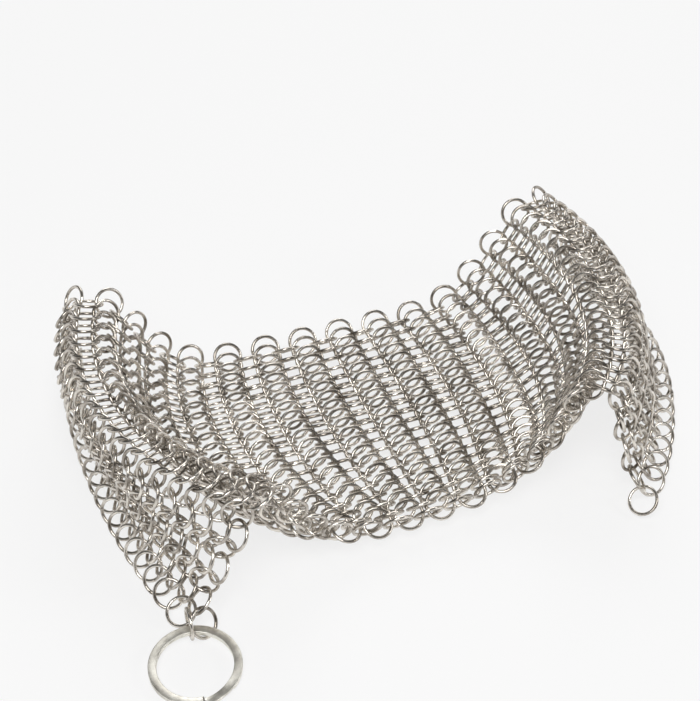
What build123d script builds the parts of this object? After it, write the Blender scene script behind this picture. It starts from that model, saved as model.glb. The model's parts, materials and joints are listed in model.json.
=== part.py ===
from build123d import *
import math
import os

import numpy as np

# All lengths are millimetres. The part is a square of ring mail: every ring passes through two rings of
# the row before it and two of the row after it. It is set in the shape it takes when it lies across a
# round raised rim with a hollow inside, so that both side flaps hang down to the table.
# +X runs from the flap with the split ring to the other flap, and the rows of rings run along Y.

# One mail ring, and the least space left between any two rings
ring_bore = 9.5
ring_wire = 1.3
ring_gap = 0.15

# The sheet, in rings
row_count = 43
rings_in_row = 20

# The rim and the hollow that give the drape its shape
crest_radius = 101.5
crest_height = 48.5
crest_half_width = 8.0
left_crest_outset = -1.5
right_crest_outset = 2.5
foot_radius = 62.0
climb_powers = (1.5, 3.0)
hollow_height = 8.0
far_edge_y = 35.5
near_edge_y = -71.0
hollow_step_shares = (0.07, 0.14, 0.22, 0.36, 0.5, 0.64, 0.78, 0.86, 0.93)

# Rows that lie on the crest at each side, counted from the edge of the left flap
left_crest_row = 7.1
right_crest_row = 34.9

# Where the far and near ends of the rows cross each crest, in degrees from that side's own X direction
left_crest_angles = (27.0, -52.0)
right_crest_angles = (23.0, -44.0)

# How far each flap hangs outside the crest at its shoulder, far end first, and its knee near the table
left_shoulder_outsets = (9.0, 6.0)
right_shoulder_outsets = (16.0, 7.0)
shoulder_drop = 9.0
knee_height = 7.0
knee_inset = 6.0
shoulder_turn_share = 0.25
knee_turn_share = 0.85

# The free edge of each flap, from its far corner to its near corner, and how far it bows out between
left_edge_far = (97.0, 64.0)
left_edge_near = (92.0, -82.0)
left_edge_bow = 9.0
right_edge_far = (118.0, 42.0)
right_edge_near = (90.0, -85.0)
right_edge_bow = 21.0

# How far the rings may lean from lying flat in the sheet: more where a row's rings are pushed together
least_lean = 27.0
most_lean = 52.0

# The split ring, a flat strip wound twice, and the two mail rings that carry it, with their turns in degrees
split_ring_diameter = 33.0
strip_width = 3.0
strip_thickness = 1.0
coil_slot = 0.1
crossover_start = -95.0
crossover_turn = 42.0
crossover_steps = 6
split_ring_place = (-94.8, -103.2)
link_ring_places = np.array([[-91.3, -87.9], [-86.8, -93.1]])
link_ring_turns = (40.0, -40.0)

# The single ring that hangs from the near corner of the right flap
end_ring_place = (84.5, -91.2, 4.5)

# Bending of the sheet from flat to draped: stages, passes in each, and the last passes
drape_stages = 48
stage_passes = 10
last_passes = 320
search_every = 6
samples_per_ring = 20
hold_share = 0.03

ring_radius = (ring_bore + ring_wire) / 2
wire_radius = ring_wire / 2
split_radius = (split_ring_diameter - strip_width) / 2
split_height = 2 * strip_thickness + coil_slot
split_section = math.hypot(strip_width, split_height) / 2
UP = np.array([0.0, 0.0, 1.0])
RIGHT = np.array([1.0, 0.0, 0.0])
FORWARD = np.array([0.0, 1.0, 0.0])


def between(first, last, share):
    return first + (last - first) * share


def unit(vectors):
    return vectors / np.linalg.norm(vectors, axis=-1, keepdims=True)


def dot(one, other):
    return np.sum(one * other, axis=-1, keepdims=True)


def on_circle(side, radius, degrees, height):
    """A point at an angle from the side's own X direction, with side -1 for left and 1 for right."""
    angle = math.radians(degrees)
    return np.array((side * radius * math.cos(angle), radius * math.sin(angle), height))


def flap_corners(side, share):
    """Corner points of one flap's section, from its free edge up to the crest."""
    if side < 0:
        crest = crest_radius + left_crest_outset
        angles, shoulder_outsets = left_crest_angles, left_shoulder_outsets
        edge_far, edge_near, edge_bow = left_edge_far, left_edge_near, left_edge_bow
    else:
        crest = crest_radius + right_crest_outset
        angles, shoulder_outsets = right_crest_angles, right_shoulder_outsets
        edge_far, edge_near, edge_bow = right_edge_far, right_edge_near, right_edge_bow
    angle = between(*angles, share)
    bow = edge_bow * 4 * share * (1 - share)
    edge_x = between(edge_far[0], edge_near[0], share) + bow
    edge_y = between(edge_far[1], edge_near[1], share)
    edge_angle = math.degrees(math.atan2(edge_y, edge_x))
    edge_radius = math.hypot(edge_x, edge_y)
    shoulder = crest_radius + between(*shoulder_outsets, share)
    knee_angle = between(angle, edge_angle, knee_turn_share)
    shoulder_angle = between(angle, edge_angle, shoulder_turn_share)
    lie = wire_radius + ring_radius * math.sin(math.radians(least_lean))
    return [
        on_circle(side, edge_radius, edge_angle, lie),
        on_circle(side, edge_radius - knee_inset, knee_angle, knee_height),
        on_circle(side, shoulder, shoulder_angle, crest_height - shoulder_drop),
        on_circle(side, crest + crest_half_width / 2, angle, crest_height + ring_wire),
        on_circle(side, crest - crest_half_width, angle, crest_height + ring_wire),
    ]


def hollow_points(left, right, share):
    """Points of the sheet between the two crests, at the height of the hollow under each of them."""
    middle = np.array([(left[0] + right[0]) / 2, between(far_edge_y, near_edge_y, share)])
    control = 2 * middle - (left[:2] + right[:2]) / 2
    power = between(*climb_powers, share)
    points = []
    for step in hollow_step_shares:
        flat = between(between(left[:2], control, step), between(control, right[:2], step), step)
        edge = between(np.linalg.norm(left[:2]), np.linalg.norm(right[:2]), step)
        climb = np.clip((np.linalg.norm(flat) - foot_radius) / (edge - foot_radius), 0, 1)
        points.append(np.array([*flat, between(hollow_height, left[2], climb**power)]))
    return points


def section_corners(share):
    """Corner points of the sheet's section at a share of the way from its far to its near edge."""
    left = flap_corners(-1, share)
    right = flap_corners(1, share)
    return np.array(left + hollow_points(left[-1], right[-1], share) + right[::-1])


def rounded(points, times=4):
    """Cuts the corners of a path again and again, which ends in a smooth curve."""
    for _ in range(times):
        before = between(points[:-1], points[1:], 0.25)
        after = between(points[:-1], points[1:], 0.75)
        inner = np.stack([before, after], axis=1).reshape(-1, 3)
        points = np.vstack([points[:1], inner, points[-1:]])
    return points


def run_nearest(path, run, point):
    """How far along the path the point on it is that lies nearest to a given point."""
    start, step = path[:-1], np.diff(path, axis=0)
    share = np.clip(dot(point - start, step) / dot(step, step), 0, 1)
    nearest = start + share * step
    best = np.argmin(np.linalg.norm(nearest - point, axis=1))
    return run[best] + share[best, 0] * (run[best + 1] - run[best])


def section(share):
    """The point of every row on the section at this share."""
    corners = section_corners(share)
    path = rounded(corners)
    run = np.concatenate([[0.0], np.cumsum(np.linalg.norm(np.diff(path, axis=0), axis=1))])
    crests = (between(corners[3], corners[4], 0.5), between(corners[-4], corners[-5], 0.5))
    left_crest, right_crest = [run_nearest(path, run, point) for point in crests]
    known_rows = [0, left_crest_row, right_crest_row, row_count - 1]
    known_runs = [0, left_crest, right_crest, run[-1]]
    stops = np.interp(np.arange(row_count), known_rows, known_runs)
    return np.stack([np.interp(stops, run, path[:, axis]) for axis in range(3)], axis=1)


def eased_grid(grid, bend):
    """The grid of row points with its slopes eased from flat, at bend 0, to draped, at bend 1."""
    steps = np.diff(grid, axis=1)
    lengths = np.linalg.norm(steps, axis=-1, keepdims=True)
    steps = between(lengths.mean(), lengths, bend) * unit(between(RIGHT, unit(steps), bend))
    middle = row_count // 2
    left = grid[:, middle:middle + 1] - np.cumsum(steps[:, middle - 1::-1], axis=1)[:, ::-1]
    right = grid[:, middle:middle + 1] + np.cumsum(steps[:, middle:], axis=1)
    return np.concatenate([left, grid[:, middle:middle + 1], right], axis=1)


def ring_frames(grid):
    """Place of every ring on the grid, and three axes, of which the first is the ring's normal."""
    row = np.arange(row_count)[:, None]
    step = 2 * np.arange(rings_in_row)[None, :] + row % 2
    along = 2 * np.gradient(grid, axis=0)[step, row]
    across = unit(np.gradient(grid, axis=1))[step, row]
    face = unit(np.cross(along, across))
    sideways = np.cross(across, face)
    # Rings one and a half pitches apart in next rows cross halfway, and this lean keeps them unlinked
    crossing = np.linalg.norm(along, axis=-1, keepdims=True) * 1.5 / 2
    clear = ring_radius + wire_radius + ring_gap
    share = np.clip(crossing / clear, math.cos(math.radians(most_lean)), math.cos(math.radians(least_lean)))
    lean = np.arccos(share)
    side = np.where(row % 2 == 0, 1, -1)[:, :, None]
    normal = np.cos(lean) * face + side * np.sin(lean) * sideways
    axes = np.stack([normal, across, np.cross(normal, across)], axis=2)
    return grid[step, row].reshape(-1, 3), axes.reshape(-1, 3, 3)


def circle_axes(normals):
    """Two directions square to each normal and to each other."""
    helper = np.where(np.abs(normals[:, 2:]) < 1 / math.sqrt(2), UP, RIGHT)
    first = unit(np.cross(normals, helper))
    return first, np.cross(normals, first)


def nearest_on_ring(rings, which, points):
    """The point of each ring's centre line that is nearest to each point."""
    centre, normal = rings["centre"][which], rings["normal"][which]
    offset = points - centre
    return centre + rings["radius"][which][:, None] * unit(offset - dot(offset, normal) * normal)


def search_nearest(rings, one, other):
    """The point of each first ring that is nearest to its other ring, found from samples."""
    centre, normal, radius = rings["centre"], rings["normal"], rings["radius"]
    angle = 2 * np.pi * np.arange(samples_per_ring) / samples_per_ring
    first, second = circle_axes(normal[one])
    turned = np.cos(angle)[:, None] * first[:, None] + np.sin(angle)[:, None] * second[:, None]
    samples = centre[one][:, None] + radius[one][:, None, None] * turned
    offset = samples - centre[other][:, None]
    height = np.sum(offset * normal[other][:, None], axis=-1)
    spread = np.sqrt(np.maximum(np.sum(offset**2, axis=-1) - height**2, 0))
    best = np.argmin(height**2 + (spread - radius[other][:, None]) ** 2, axis=1)
    return samples[np.arange(len(best)), best]


def near_pairs(rings):
    """Numbers of the rings that are close enough to touch."""
    centre = rings["centre"]
    reach = rings["radius"] + rings["section"] + ring_gap
    distance = np.linalg.norm(centre[:, None] - centre[None, :], axis=-1)
    return np.nonzero(np.triu(distance < reach[:, None] + reach[None, :], 1))


def least_gaps(rings, one, other, rounds=12):
    """The gap between the wires of each pair of rings, looked for from both of them."""
    found = []
    for first, second in ((one, other), (other, one)):
        here = search_nearest(rings, first, second)
        for _ in range(rounds):
            there = nearest_on_ring(rings, second, here)
            here = nearest_on_ring(rings, first, there)
        found.append(np.linalg.norm(here - there, axis=1))
    return np.minimum(*found) - rings["section"][one] - rings["section"][other]


def settle(rings, home, passes, hold, on_table):
    """Pushes rings apart where two come too close, while a hold that fades out draws them home."""
    one, other = near_pairs(rings)
    first, second = np.concatenate([one, other]), np.concatenate([other, one])
    wanted = rings["section"][first] + rings["section"][second] + ring_gap
    inertia = ring_radius**2 / 2
    free = rings["free"][:, None]
    for number in range(passes):
        if number % search_every == 0:
            here = search_nearest(rings, first, second)
        there = nearest_on_ring(rings, second, here)
        here = nearest_on_ring(rings, first, there)
        apart = here - there
        distance = np.linalg.norm(apart, axis=1)
        close = distance < wanted
        push = unit(apart[close])
        a, b = first[close], second[close]
        turn_a = np.cross(here[close] - rings["centre"][a], push)
        turn_b = np.cross(there[close] - rings["centre"][b], push)
        give = 2 + (dot(turn_a, turn_a) + dot(turn_b, turn_b)) / inertia
        size = (wanted - distance)[close][:, None] / give
        move, turn, touches = np.zeros_like(home), np.zeros_like(home), np.ones_like(free)
        for ring, way, arm in ((a, 1, turn_a), (b, -1, turn_b)):
            np.add.at(move, ring, way * size * push)
            np.add.at(turn, ring, way * size * arm / inertia)
            np.add.at(touches, ring, 1)
        ease = free / np.sqrt(touches)
        back = free * hold * max(0, 1 - 1.5 * number / passes)
        rings["centre"] = rings["centre"] + ease * move + back * (home - rings["centre"])
        rings["normal"] = unit(rings["normal"] + np.cross(ease * turn, rings["normal"]))
        if on_table:
            rings["centre"][:, 2:] += free * np.maximum(-underside(rings)[:, None], 0)


def reach_along(rings, axis):
    """How far each ring reaches from its centre along X, Y or Z."""
    tilt = np.sqrt(np.maximum(1 - rings["normal"][:, axis] ** 2, 0))
    return rings["radius"] * tilt + rings["section"]


def underside(rings):
    return rings["centre"][:, 2] - reach_along(rings, 2)


def linked(rings, one, other):
    """Whether each pair of rings is linked: only one crossing of the first's plane is inside the first."""
    centre, normal, radius = rings["centre"], rings["normal"], rings["radius"]
    line = unit(np.cross(normal[one], normal[other]))
    apart = centre[one] - centre[other]
    into = unit(np.cross(normal[other], line))
    foot = dot(apart, normal[one]) / dot(into, normal[one])
    half = np.sqrt(np.maximum(radius[other][:, None] ** 2 - foot**2, 0))
    inside = []
    for way in (-1, 1):
        crossing = centre[other] + foot * into + way * half * line
        inside.append(np.linalg.norm(crossing - centre[one], axis=1) < radius[one])
    return (inside[0] != inside[1]) & (half[:, 0] > 0)


def wanted_links():
    """Pairs of mail rings that the weave links, by their numbers."""
    pairs = set()
    for row in range(row_count - 1):
        for ring in range(rings_in_row):
            for step in (row % 2 - 1, row % 2):
                if 0 <= ring + step < rings_in_row:
                    pairs.add((row * rings_in_row + ring, (row + 1) * rings_in_row + ring + step))
    return pairs


def draped_sheet():
    """The mail rings, bent from flat to the draped shape in small stages so that every link stays made."""
    half_steps = 2 * rings_in_row
    grid = np.array([section(step / (half_steps - 1)) for step in range(half_steps)])
    place, axes = ring_frames(eased_grid(grid, 0))
    count = len(place)
    rings = {
        "centre": place.copy(),
        "normal": axes[:, 0].copy(),
        "radius": np.full(count, ring_radius),
        "section": np.full(count, wire_radius),
        "free": np.ones(count),
    }
    for stage in range(drape_stages + 1):
        offset = np.einsum("nij,nj->ni", axes, rings["centre"] - place)
        normal = np.einsum("nij,nj->ni", axes, rings["normal"])
        place, axes = ring_frames(eased_grid(grid, stage / drape_stages))
        rings["centre"] = place + np.einsum("nji,nj->ni", axes, offset)
        rings["normal"] = np.einsum("nji,nj->ni", axes, normal)
        settle(rings, place, stage_passes, hold_share, False)
    return rings


def turned(vector, axis, degrees):
    """The vector turned about a unit axis."""
    angle = math.radians(degrees)
    along = axis * dot(axis, vector)
    return along + (vector - along) * math.cos(angle) + np.cross(axis, vector) * math.sin(angle)


def hung_ring(rings, carrier, target, turn):
    """Centre and normal of a mail ring that hangs from a carrier ring, turned about its line to a target."""
    centre, normal = rings["centre"][carrier], rings["normal"][carrier]
    way = target - centre
    way = unit(way - dot(way, normal) * normal)
    hold = centre + rings["radius"][carrier] * way
    out = unit(target - hold)
    inside = ring_radius - wire_radius - rings["section"][carrier] - ring_gap
    middle = hold + inside * out
    return middle, turned(unit(np.cross(normal, way)), unit(middle - target), turn)


def add_ring(rings, name, centre, normal, radius, section, free):
    rings["name"].append(name)
    rings["centre"] = np.vstack([rings["centre"], centre])
    rings["normal"] = np.vstack([rings["normal"], normal])
    rings["radius"] = np.append(rings["radius"], radius)
    rings["section"] = np.append(rings["section"], section)
    rings["free"] = np.append(rings["free"], free)


def bring_split_ring(rings):
    """Adds the split ring, down on the table at one side and up on its two link rings at the other."""
    place = np.array([*split_ring_place, 0.0])
    toward = unit(np.array([*between(*link_ring_places, 0.5), 0.0]) - place)
    lift = ring_wire + 2 * ring_gap + split_section
    tilt = math.asin((lift - split_height / 2) / (2 * split_radius + strip_width / 2))
    rise = (split_radius + strip_width / 2) * math.sin(tilt) + split_height / 2 * math.cos(tilt)
    add_ring(rings, "split_ring", place + rise * UP, UP * math.cos(tilt) - toward * math.sin(tilt),
             split_radius, split_section, 0)


def all_rings():
    """Every ring of the part, settled, and its pairs of rings that are linked."""
    rings = draped_sheet()
    rings["name"] = [f"mail_row_{row + 1:02d}" for row in range(row_count) for _ in range(rings_in_row)]
    rings["name"][0] = "far_corner_ring_left"
    last_row = (row_count - 1) * rings_in_row
    rings["name"][last_row] = "far_corner_ring_right"
    pairs = wanted_links()
    bring_split_ring(rings)
    split_ring = len(rings["name"]) - 1
    carriers = (rings_in_row - 1, 2 * rings_in_row - 1)
    names = ("split_ring_link_a", "split_ring_link_b")
    for name, carrier, place, turn in zip(names, carriers, link_ring_places, link_ring_turns):
        target = nearest_on_ring(rings, [split_ring], np.array([[*place, split_height]]))[0]
        pairs.add((split_ring, len(rings["name"])))
        pairs.add((carrier, len(rings["name"])))
        add_ring(rings, name, *hung_ring(rings, carrier, target, turn), ring_radius, wire_radius, 1)
    carrier = last_row - 1
    pairs.add((carrier, len(rings["name"])))
    target = np.array(end_ring_place)
    add_ring(rings, "end_ring", *hung_ring(rings, carrier, target, 0), ring_radius, wire_radius, 1)
    settle(rings, rings["centre"].copy(), last_passes, hold_share, True)
    return rings, pairs


def bottom_centre(rings):
    """Middle of the part's underside, measured over every ring."""
    reach = np.stack([reach_along(rings, axis) for axis in range(3)], axis=1)
    split_ring = rings["name"].index("split_ring")
    flat = np.abs(rings["normal"][split_ring])
    reach[split_ring] = (split_radius + strip_width / 2) * np.sqrt(1 - flat**2) + split_height / 2 * flat
    low, high = (rings["centre"] - reach).min(axis=0), (rings["centre"] + reach).max(axis=0)
    return np.array([*between(low, high, 0.5)[:2], low[2]])


def print_links(rings, wanted):
    one, other = near_pairs(rings)
    gaps = least_gaps(rings, one, other)
    made = {(int(a), int(b)) for a, b, yes in zip(one, other, linked(rings, one, other)) if yes}
    print("least gap between rings", round(float(gaps.min()), 3))
    print("links made", len(made & wanted), "of", len(wanted), "and stray links", len(made - wanted))


def strip_section(degrees, height):
    """The strip's section at an angle round the split ring, standing square to its run."""
    angle = math.radians(degrees)
    out, run = (math.cos(angle), math.sin(angle), 0), (-math.sin(angle), math.cos(angle), 0)
    place = (split_radius * math.cos(angle), split_radius * math.sin(angle), height)
    return Plane(origin=place, x_dir=out, z_dir=run) * Rectangle(strip_width, strip_thickness)


def split_ring_solid():
    """Two flat coils of strip, one on the other, joined by the crossover where the strip climbs."""
    height = (strip_thickness + coil_slot) / 2
    coil_start, coil_turn = crossover_start + crossover_turn, 360 - crossover_turn
    lower = revolve(strip_section(coil_start, -height), Axis.Z, coil_turn)
    upper = revolve(strip_section(coil_start, height), Axis.Z, coil_turn)
    sections = []
    for step in range(crossover_steps + 1):
        share = step / crossover_steps
        climb = (1 - math.cos(math.pi * share)) / 2
        degrees = crossover_start + crossover_turn * share
        sections.append(strip_section(degrees, between(-height, height, climb)))
    return (lower + loft(sections, ruled=True) + upper).solid()


rings, pairs = all_rings()
print_links(rings, pairs)
rings["centre"] = rings["centre"] - bottom_centre(rings)

nodes = {}
for name, centre, normal in zip(rings["name"], rings["centre"], rings["normal"]):
    if name == "split_ring":
        across = np.cross(FORWARD, normal)
        ring = Plane(origin=tuple(centre), x_dir=tuple(across), z_dir=tuple(normal)) * split_ring_solid()
    else:
        ring = Solid.make_torus(ring_radius, wire_radius, Plane(origin=tuple(centre), z_dir=tuple(normal)))
    nodes.setdefault(name, []).append(ring)

os.makedirs("parts", exist_ok=True)
for name, solids in nodes.items():
    export_step(solids[0] if len(solids) == 1 else Compound(children=solids), f"parts/{name}.step")
print("nodes", len(nodes), "solids", sum(len(solids) for solids in nodes.values()))
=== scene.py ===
import json
import math

import bpy
import numpy as np
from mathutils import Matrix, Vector


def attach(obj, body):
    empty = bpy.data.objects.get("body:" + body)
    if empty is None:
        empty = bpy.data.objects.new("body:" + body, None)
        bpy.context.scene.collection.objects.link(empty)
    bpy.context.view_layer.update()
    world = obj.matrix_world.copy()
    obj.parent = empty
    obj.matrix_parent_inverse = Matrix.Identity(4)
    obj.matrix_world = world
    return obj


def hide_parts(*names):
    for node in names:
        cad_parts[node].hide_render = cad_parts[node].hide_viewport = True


# A sheet of steel ring mail with a split ring on one corner. All lengths are metres.

# Mail ring: round wire bent to a circle, with its two ends welded together
ring_radius = 0.0054
wire_radius = 0.00065
ring_steps = 26
wire_sides = 8
weld_swell_share = 0.15
weld_reach = 0.00045
weld_stops = (-0.0009, -0.00055, -0.0003, 0.0, 0.0003, 0.00055, 0.0009)

# Split ring: a flat strip wound twice
split_radius = 0.015
strip_width = 0.003
strip_thickness = 0.001
strip_corner = 0.00022
corner_points = 4
coil_slot = 0.0001
crossover_start = -95.0
crossover_turn = 42.0
coil_steps = 84
crossover_steps = 14

# Reading the CAD: decimals at which two points are one, and the step of the random seed from node to node
point_decimals = 8
seed_step = 100

# Steel: dark and light tone, least and most roughness, scale of the lines along and round the wire, their
# depth, and the scale of the cloudy tone
wire_tones = ((0.27, 0.24, 0.205, 1.0), (0.81, 0.765, 0.70, 1.0))
wire_roughness = (0.14, 0.30)
wire_line_scale = (0.8, 26.0, 1.0)
wire_line_depth = 0.00004
wire_cloud_scale = 140.0
strip_tones = ((0.62, 0.595, 0.53, 1.0), (0.93, 0.91, 0.83, 1.0))
strip_roughness = (0.28, 0.44)
strip_line_scale = (3.0, 14.0, 1.0)
strip_line_depth = 0.00001
strip_cloud_scale = 240.0

# Both steels: detail of the lines and of the clouds, the part of the cloud noise that is spread over the
# tones, strength of the relief, and texture units to a metre of wire
line_detail = 3.0
cloud_detail = 4.0
cloud_spread = (0.34, 0.61)
relief_strength = 0.35
texture_per_metre = 100

# View of the photograph: a point of the part, where it lies in the frame, and where the camera stands from it
view_point = Vector((-0.01055, 0.02551, 0.045))
view_pixel = (346.0, 325.0)
image_size = (700.0, 701.0)
focal_pixels = 1965.0
view_azimuth = 20.7
view_elevation = 41.5
view_distance = 0.75
view_clip = (0.01, 20.0)
sensor_width = 36.0

# Studio: floor and wall with their paint, the world, and each lamp's name, place, width and power in watts
stage_reach = 3.0
wall_height = 0.6
floor_clearance = 0.0003
floor_white_share = 0.75
stage_colour = (0.86, 0.86, 0.86, 1.0)
stage_roughness = 0.9
world_colour = (1.0, 1.0, 1.0, 1.0)
world_strength = 0.12
lamp_target = (0.0, 0.0, 0.02)
lamps = (
    ("key_lamp", (-0.35, -0.6, 1.1), 0.7, 10.0),
    ("fill_lamp", (0.9, -0.5, 0.6), 0.3, 2.2),
    ("back_lamp", (0.35, 0.95, 0.95), 0.9, 7.5),
)


def unit(vectors):
    return vectors / np.linalg.norm(vectors, axis=-1, keepdims=True)


def node_points(node):
    """Points of a CAD node without doubles, and for each of them the number of its own loose piece."""
    mesh = node.data
    points = np.empty(len(mesh.vertices) * 3)
    mesh.vertices.foreach_get("co", points)
    points = points.reshape(-1, 3)
    edges = np.empty(len(mesh.edges) * 2, dtype=int)
    mesh.edges.foreach_get("vertices", edges)
    places, same = np.unique(np.round(points, point_decimals), axis=0, return_inverse=True)
    edges = same.reshape(-1)[edges].reshape(-1, 2)
    label = np.arange(len(places))
    while True:
        low = np.minimum(label[edges[:, 0]], label[edges[:, 1]])
        new = label.copy()
        np.minimum.at(new, edges[:, 0], low)
        np.minimum.at(new, edges[:, 1], low)
        new = new[new]
        if (new == label).all():
            return places, label
        label = new


def ring_places(node):
    """Centre and normal of every ring in a CAD node."""
    points, label = node_points(node)
    places = []
    for one in np.unique(label):
        ring = points[label == one]
        centre = (ring.min(axis=0) + ring.max(axis=0)) / 2
        middle = ring.mean(axis=0)
        spread = np.linalg.eigh(np.cov((ring - middle).T))[1]
        places.append((centre, spread[:, 0]))
    return places


def tube_mesh(name, paths, closed):
    """One mesh of tubes. Each path holds its rings of points, and their distance along and round the tube."""
    points, faces, marks = [], [], []
    for rings, along, around in paths:
        start = len(points)
        steps, sides = rings.shape[:2]
        points.extend(rings.reshape(-1, 3))
        for step in range(steps if closed else steps - 1):
            for side in range(sides):
                after = (side + 1) % sides
                low, high = start + step * sides, start + (step + 1) % steps * sides
                faces.append((low + side, low + after, high + after, high + side))
                marks.append(((along[step], around[side]), (along[step], around[side + 1]),
                              (along[step + 1], around[side + 1]), (along[step + 1], around[side])))
        if not closed:
            first = tuple(start + side for side in reversed(range(sides)))
            last = tuple(start + (steps - 1) * sides + side for side in range(sides))
            for face, place in ((first, along[0]), (last, along[-1])):
                faces.append(face)
                marks.append([(place, around[side]) for side in range(sides)])
    mesh = bpy.data.meshes.new(name)
    mesh.from_pydata([tuple(point) for point in points], [], faces)
    layer = mesh.uv_layers.new(name="wire")
    layer.data.foreach_set("uv", np.array([mark for face in marks for mark in face]).reshape(-1))
    mesh.polygons.foreach_set("use_smooth", [len(face) == 4 for face in faces])
    mesh.update()
    return mesh


def wire_ring(centre, normal, number):
    """Points of one wire ring, whose small weld lies at a place that differs from ring to ring."""
    chance = np.random.default_rng(number)
    helper = np.array((0.0, 0.0, 1.0)) if abs(normal[2]) < math.sqrt(0.5) else np.array((1.0, 0.0, 0.0))
    first = unit(np.cross(normal, helper))
    second = np.cross(normal, first)
    weld = chance.uniform(0, 2 * math.pi)
    stops = np.array(weld_stops) / ring_radius
    plain = np.linspace(stops[-1], 2 * math.pi + stops[0], ring_steps + 1)[1:-1]
    angles = np.concatenate([stops, plain])
    swell = 1 + weld_swell_share * np.exp(-(((angles + math.pi) % (2 * math.pi) - math.pi) * ring_radius
                                            / weld_reach) ** 2)
    around = np.linspace(0, 2 * math.pi, wire_sides + 1)
    rings = []
    for angle, share in zip(angles, swell):
        out = np.cos(angle + weld) * first + np.sin(angle + weld) * second
        side = np.outer(np.cos(around[:-1]), out) + np.outer(np.sin(around[:-1]), normal)
        rings.append(centre + ring_radius * out + wire_radius * share * side)
    run = np.append(angles, angles[0] + 2 * math.pi) * ring_radius * texture_per_metre
    return np.array(rings), chance.uniform(0, 1) + run, around / (2 * math.pi)


def split_frame(node):
    """Centre and axes of the split ring, found from its CAD node."""
    points = node_points(node)[0]
    spread = np.linalg.eigh(np.cov((points - points.mean(axis=0)).T))[1]
    normal = spread[:, 0] * np.sign(spread[2, 0])
    across = unit(np.cross((0.0, 1.0, 0.0), normal))
    along = np.cross(normal, across)
    local = points @ np.array((across, along, normal)).T
    # Outer edge points lie on one circle, so the middle of their reach is its centre
    middle = (local.min(axis=0) + local.max(axis=0)) / 2
    return middle @ np.array((across, along, normal)), across, along, normal


def strip_points(node):
    """Points of the strip of the split ring, along its lower coil, its crossover and its upper coil."""
    centre, across, along, normal = split_frame(node)
    height = (strip_thickness + coil_slot) / 2
    turn = 360 - crossover_turn
    start = crossover_start + crossover_turn
    stops = []
    for step in range(coil_steps + 1):
        stops.append((start + turn * step / coil_steps, -height))
    for step in range(1, crossover_steps):
        share = step / crossover_steps
        climb = (1 - math.cos(math.pi * share)) / 2
        stops.append((start + turn + crossover_turn * share, height * (2 * climb - 1)))
    for step in range(coil_steps + 1):
        stops.append((start + 360 + turn * step / coil_steps, height))
    half_width, half_height = strip_width / 2 - strip_corner, strip_thickness / 2 - strip_corner
    outline = []
    for corner, (x_way, y_way) in enumerate(((1, 1), (-1, 1), (-1, -1), (1, -1))):
        for part in range(corner_points):
            angle = math.radians(90 * corner + 90 * part / (corner_points - 1))
            outline.append((x_way * half_width + strip_corner * math.cos(angle),
                            y_way * half_height + strip_corner * math.sin(angle)))
    outline = np.array(outline)
    rings, run = [], []
    for degrees, level in stops:
        angle = math.radians(degrees)
        out = math.cos(angle) * across + math.sin(angle) * along
        place = centre + split_radius * out + level * normal
        rings.append(place + np.outer(outline[:, 0], out) + np.outer(outline[:, 1], normal))
        run.append(angle * split_radius * texture_per_metre)
    return [(np.array(rings), np.array(run), np.linspace(0, 1, len(outline) + 1))]


def new_node(tree, kind, place, **values):
    """A shader node, with values for its inputs or, where it has no such input, for its own settings."""
    node = tree.nodes.new(kind)
    node.location = place
    for name, value in values.items():
        if name in node.inputs:
            node.inputs[name].default_value = value
        else:
            setattr(node, name, value)
    return node


def steel_material(name, tones, rough, line_scale, line_depth, cloud_scale):
    """Steel with a cloudy tone, and lines along its length that set its roughness and its fine relief."""
    material = bpy.data.materials.new(name)
    material.use_nodes = True
    tree = material.node_tree
    shader = tree.nodes["Principled BSDF"]
    shader.inputs["Metallic"].default_value = 1.0
    coordinates = new_node(tree, "ShaderNodeTexCoord", (-1200, 0))
    stretch = new_node(tree, "ShaderNodeMapping", (-1000, -250))
    stretch.inputs["Scale"].default_value = line_scale
    lines = new_node(tree, "ShaderNodeTexNoise", (-800, -250), Scale=1.0, Detail=line_detail)
    clouds = new_node(tree, "ShaderNodeTexNoise", (-800, 150), Scale=cloud_scale, Detail=cloud_detail)
    tone = new_node(tree, "ShaderNodeMixRGB", (-300, 200))
    tone.inputs["Color1"].default_value = tones[0]
    tone.inputs["Color2"].default_value = tones[1]
    sharpen = new_node(tree, "ShaderNodeMapRange", (-550, 200))
    sharpen.inputs["From Min"].default_value = cloud_spread[0]
    sharpen.inputs["From Max"].default_value = cloud_spread[1]
    roughness = new_node(tree, "ShaderNodeMapRange", (-550, -50))
    roughness.inputs["To Min"].default_value = rough[0]
    roughness.inputs["To Max"].default_value = rough[1]
    bump = new_node(tree, "ShaderNodeBump", (-300, -250), Strength=relief_strength, Distance=line_depth)
    link = tree.links.new
    link(coordinates.outputs["UV"], stretch.inputs["Vector"])
    link(stretch.outputs["Vector"], lines.inputs["Vector"])
    link(coordinates.outputs["Object"], clouds.inputs["Vector"])
    link(clouds.outputs["Fac"], sharpen.inputs["Value"])
    link(sharpen.outputs["Result"], tone.inputs["Fac"])
    link(tone.outputs["Color"], shader.inputs["Base Color"])
    link(lines.outputs["Fac"], roughness.inputs["Value"])
    link(roughness.outputs["Result"], shader.inputs["Roughness"])
    link(lines.outputs["Fac"], bump.inputs["Height"])
    link(bump.outputs["Normal"], shader.inputs["Normal"])
    return material


def add_piece(name, mesh, material, body, slot, *nodes):
    mesh.materials.append(material)
    piece = bpy.data.objects.new(name, mesh)
    bpy.context.scene.collection.objects.link(piece)
    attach(piece, body)
    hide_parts(*nodes)


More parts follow.
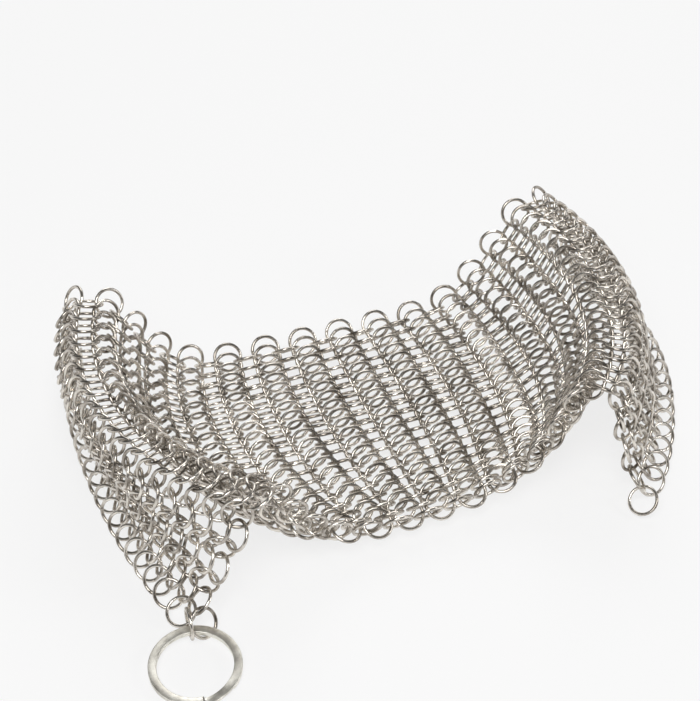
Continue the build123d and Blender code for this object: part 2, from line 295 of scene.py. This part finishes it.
def add_lamp(name, place, size, power):
    lamp = bpy.data.lights.new(name, "AREA")
    lamp.size = size
    lamp.energy = power
    holder = bpy.data.objects.new(name, lamp)
    holder.location = place
    holder.rotation_euler = (Vector(lamp_target) - Vector(place)).to_track_quat("-Z", "Y").to_euler()
    bpy.context.scene.collection.objects.link(holder)


def add_camera():
    azimuth, elevation = math.radians(view_azimuth), math.radians(view_elevation)
    back = Vector((-math.sin(azimuth) * math.cos(elevation), -math.cos(azimuth) * math.cos(elevation),
                   math.sin(elevation)))
    camera = bpy.data.cameras.new("camera")
    camera.sensor_width = sensor_width
    camera.sensor_fit = "HORIZONTAL"
    camera.lens = sensor_width * focal_pixels / image_size[0]
    camera.shift_x = (image_size[0] / 2 - view_pixel[0]) / image_size[0]
    camera.shift_y = (view_pixel[1] - image_size[1] / 2) / image_size[0]
    camera.clip_start, camera.clip_end = view_clip
    holder = bpy.data.objects.new("camera", camera)
    holder.location = view_point + back * view_distance
    holder.rotation_euler = (-back).to_track_quat("-Z", "Y").to_euler()
    bpy.context.scene.collection.objects.link(holder)
    bpy.context.scene.camera = holder


def stage_material(name):
    """Matt paint that camera, mirror and glass rays see nearer to white, so that it still holds a shadow."""
    material = bpy.data.materials.new(name)
    material.use_nodes = True
    tree = material.node_tree
    paint = tree.nodes["Principled BSDF"]
    paint.inputs["Base Color"].default_value = stage_colour
    paint.inputs["Roughness"].default_value = stage_roughness
    light_path = new_node(tree, "ShaderNodeLightPath", (-600, 300))
    either = new_node(tree, "ShaderNodeMath", (-400, 300), operation="MAXIMUM")
    all_three = new_node(tree, "ShaderNodeMath", (-200, 300), operation="MAXIMUM")
    share = new_node(tree, "ShaderNodeMath", (0, 300), operation="MULTIPLY")
    share.inputs[1].default_value = floor_white_share
    glow = new_node(tree, "ShaderNodeEmission", (0, 0))
    mix = new_node(tree, "ShaderNodeMixShader", (400, 200))
    link = tree.links.new
    link(light_path.outputs["Is Camera Ray"], either.inputs[0])
    link(light_path.outputs["Is Glossy Ray"], either.inputs[1])
    link(either.outputs[0], all_three.inputs[0])
    link(light_path.outputs["Is Transmission Ray"], all_three.inputs[1])
    link(all_three.outputs[0], share.inputs[0])
    link(share.outputs[0], mix.inputs["Fac"])
    link(paint.outputs["BSDF"], mix.inputs[1])
    link(glow.outputs["Emission"], mix.inputs[2])
    link(mix.outputs["Shader"], tree.nodes["Material Output"].inputs["Surface"])
    return material


def add_stage_piece(name, points, faces, material):
    mesh = bpy.data.meshes.new(name)
    mesh.from_pydata(points, [], faces)
    mesh.materials.append(material)
    piece = bpy.data.objects.new(name, mesh)
    bpy.context.scene.collection.objects.link(piece)


def add_stage():
    """Pale floor, low pale wall all round, soft lamps, and a darker world that the steel reflects."""
    material = stage_material("stage_paint")
    square = ((-1, -1), (1, -1), (1, 1), (-1, 1))
    corners = [(x * stage_reach, y * stage_reach, -floor_clearance) for x, y in square]
    add_stage_piece("floor", corners, [(0, 1, 2, 3)], material)
    tops = [(x, y, wall_height) for x, y, z in corners]
    sides = [(n, (n + 1) % 4, (n + 1) % 4 + 4, n + 4) for n in range(4)]
    add_stage_piece("wall", corners + tops, sides, material)
    world = bpy.data.worlds.new("world")
    world.use_nodes = True
    world.node_tree.nodes["Background"].inputs["Color"].default_value = world_colour
    world.node_tree.nodes["Background"].inputs["Strength"].default_value = world_strength
    bpy.context.scene.world = world
    bpy.context.scene.view_settings.view_transform = "Standard"
    for name, place, size, power in lamps:
        add_lamp(name, place, size, power)


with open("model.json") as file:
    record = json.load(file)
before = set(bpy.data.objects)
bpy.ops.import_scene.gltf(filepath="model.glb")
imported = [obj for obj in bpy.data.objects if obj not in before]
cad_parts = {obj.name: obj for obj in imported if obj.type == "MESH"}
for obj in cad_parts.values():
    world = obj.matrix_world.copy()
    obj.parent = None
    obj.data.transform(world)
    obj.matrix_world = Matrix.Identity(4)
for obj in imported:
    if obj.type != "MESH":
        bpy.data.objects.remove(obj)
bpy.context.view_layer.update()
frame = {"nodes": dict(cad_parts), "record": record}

wire = steel_material("drawn_wire", wire_tones, wire_roughness, wire_line_scale, wire_line_depth,
                      wire_cloud_scale)
strip = steel_material("rolled_strip", strip_tones, strip_roughness, strip_line_scale, strip_line_depth,
                       strip_cloud_scale)

bodies = frame["record"]["behaviour"]["bodies"]
for body, names in bodies.items():
    for name in names:
        node = frame["nodes"][name]
        if name == "split_ring":
            mesh = tube_mesh("split_ring_strip", strip_points(node), False)
            add_piece("split_ring_strip", mesh, strip, body, "strip", name)
            continue
        seed = sum(ord(letter) * place for place, letter in enumerate(name, 1)) * seed_step
        paths = [wire_ring(*place, seed + number) for number, place in enumerate(ring_places(node))]
        add_piece(name + "_wire", tube_mesh(name + "_wire", paths, True), wire, body, "wire", name)

add_camera()
add_stage()
